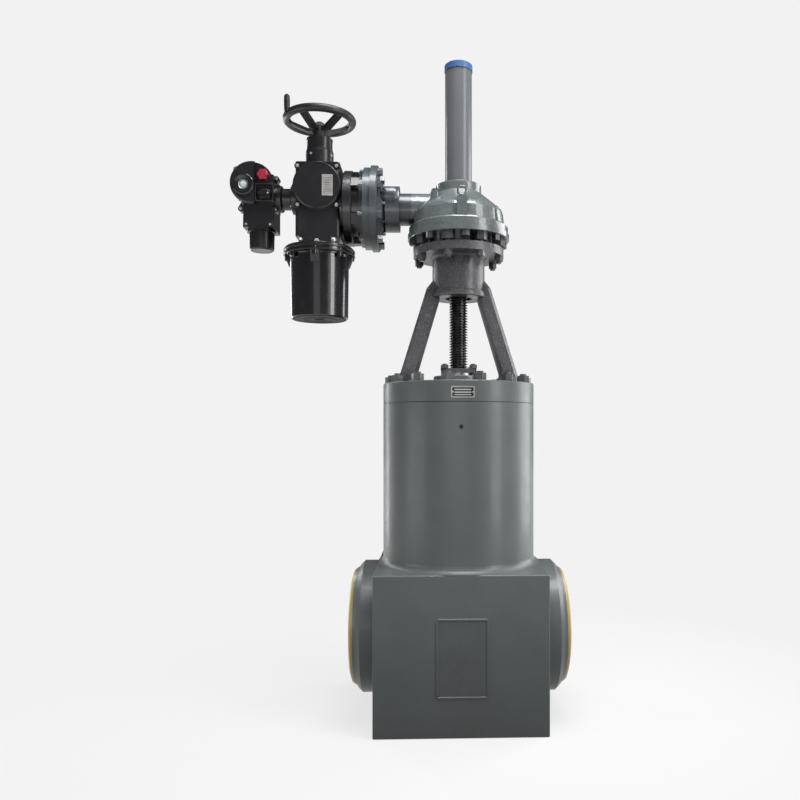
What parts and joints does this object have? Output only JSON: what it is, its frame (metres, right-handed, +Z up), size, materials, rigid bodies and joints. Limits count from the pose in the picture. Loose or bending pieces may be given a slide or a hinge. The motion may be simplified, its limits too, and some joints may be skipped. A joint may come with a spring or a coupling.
{
  "type": "motorised forged gate valve",
  "caption": "Motor-driven forged gate valve with block body, butt-weld ends, thick neck, open yoke, bevel gearbox, stem tube, handwheel and electric actuator.",
  "frame": {"origin": "centre of the block's underside, on the stem axis", "axes": "+Z up along the stem, X along the pipe with the actuator on -X, front towards -Y"},
  "size_m": [1.466, 0.72, 2.88],
  "materials": {
    "body_paint": "semi-gloss grey machinery paint",
    "black_paint": "satin to gloss black enamel",
    "fastener_steel": "zinc-plated or oiled steel",
    "painted_bolts": "painted over with the body",
    "dark_steel": "greased dark steel",
    "machined_steel": "machined and ground",
    "bronze": "turned bronze",
    "graphite": "pressed graphite",
    "copper_core": "laminated core and winding",
    "blue_plastic": "moulded blue cap",
    "red_plastic": "moulded red knob",
    "black_plastic": "moulded black",
    "window_glass": "clear window",
    "dial_white": "printed dial, left blank"
  },
  "bodies": {
    "valve": {"valve_body": "body_paint", "body_neck": "body_paint", "weld_end_left": "body_paint", "weld_end_right": "body_paint", "seat_ring_left": "machined_steel", "seat_ring_right": "machined_steel", "bonnet": "body_paint", "pressure_seal_ring": "machined_steel", "spacer_ring": "machined_steel", "segment_ring": "machined_steel", "cover_ring": "body_paint", "cover_studs": "painted_bolts", "packing_set": "graphite", "gland_bush": "machined_steel", "gland_flange": "body_paint", "gland_studs": "painted_bolts", "yoke": "body_paint", "yoke_foot_bolts": "painted_bolts", "gearbox_base": "body_paint", "gearbox_housing": "body_paint", "joint_studs": "painted_bolts", "base_screws": "painted_bolts", "thrust_bearings": "machined_steel", "lifting_eye": "fastener_steel", "filler_plug": "body_paint", "input_housing": "body_paint", "input_flange_bolts": "fastener_steel", "shaft_bearings": "machined_steel", "gear_drum": "black_paint", "actuator_housing": "black_paint", "front_cover": "black_paint", "worm_bearings": "machined_steel", "hand_column": "black_paint", "motor_adapter": "black_paint", "motor_can": "black_paint", "motor_stator": "copper_core", "control_neck": "black_paint", "control_housing": "black_paint", "window_bezel": "black_plastic", "indicator_dial": "dial_white", "indicator_glass": "window_glass", "terminal_cover": "black_paint", "stem_tube": "body_paint", "tube_cap": "blue_plastic"},
    "hand_drive": {"handwheel": "black_paint", "handwheel_nut": "fastener_steel", "worm_shaft": "machined_steel"},
    "crank_grip": {"grip": "black_plastic"},
    "input_drive": {"drive_sleeve": "bronze", "input_shaft": "machined_steel", "bevel_pinion": "machined_steel"},
    "nut_drive": {"stem_nut": "bronze", "crown_gear": "machined_steel"},
    "stem_and_gate": {"stem": "dark_steel", "gate": "machined_steel"},
    "rotor": {"motor_rotor": "machined_steel"},
    "selector": {"selector_knob": "red_plastic"},
    "command": {"command_knob": "black_plastic"}
  },
  "joints": [
    {"name": "hand_turn", "type": "hinge", "parent": "valve", "child": "hand_drive", "pos_m": [-0.612, -0.063, 2.598], "axis": [0, 0, 1], "range_deg": [0, 712800]},
    {"name": "input_turn", "type": "hinge", "parent": "valve", "child": "input_drive", "pos_m": [-0.612, 0, 2.23], "axis": [1, 0, 0], "range_deg": [0, 32401]},
    {"name": "nut_turn", "type": "hinge", "parent": "valve", "child": "nut_drive", "pos_m": [0, 0, 2.2], "axis": [0, 0, -1], "range_deg": [0, 10801]},
    {"name": "stem_lift", "type": "slide", "parent": "valve", "child": "stem_and_gate", "axis": [0, 0, 1], "range_m": [0, 0.3601]},
    {"name": "grip_spin", "type": "hinge", "parent": "hand_drive", "child": "crank_grip", "pos_m": [-0.74457, -0.11389, 2.675], "axis": [0, 0, 1], "continuous": true},
    {"name": "rotor_spin", "type": "hinge", "parent": "valve", "child": "rotor", "pos_m": [-0.612, -0.063, 1.9], "axis": [0, 0, 1], "continuous": true},
    {"name": "selector_turn", "type": "hinge", "parent": "valve", "child": "selector", "pos_m": [-0.853, -0.074, 2.351], "axis": [0, -1, 0], "range_deg": [-60, 60]},
    {"name": "command_turn", "type": "hinge", "parent": "valve", "child": "command", "pos_m": [-0.847, -0.074, 2.269], "axis": [0, -1, 0], "range_deg": [-35, 35], "stiffness_Nm_per_rad": 0.3}
  ],
  "couplings": [
    {"joint": "input_turn", "follows": "hand_turn", "ratio": 0.045455},
    {"joint": "nut_turn", "follows": "hand_turn", "ratio": 0.015152},
    {"joint": "stem_lift", "follows": "hand_turn", "m_per_rad": 0.000028937}
  ]
}
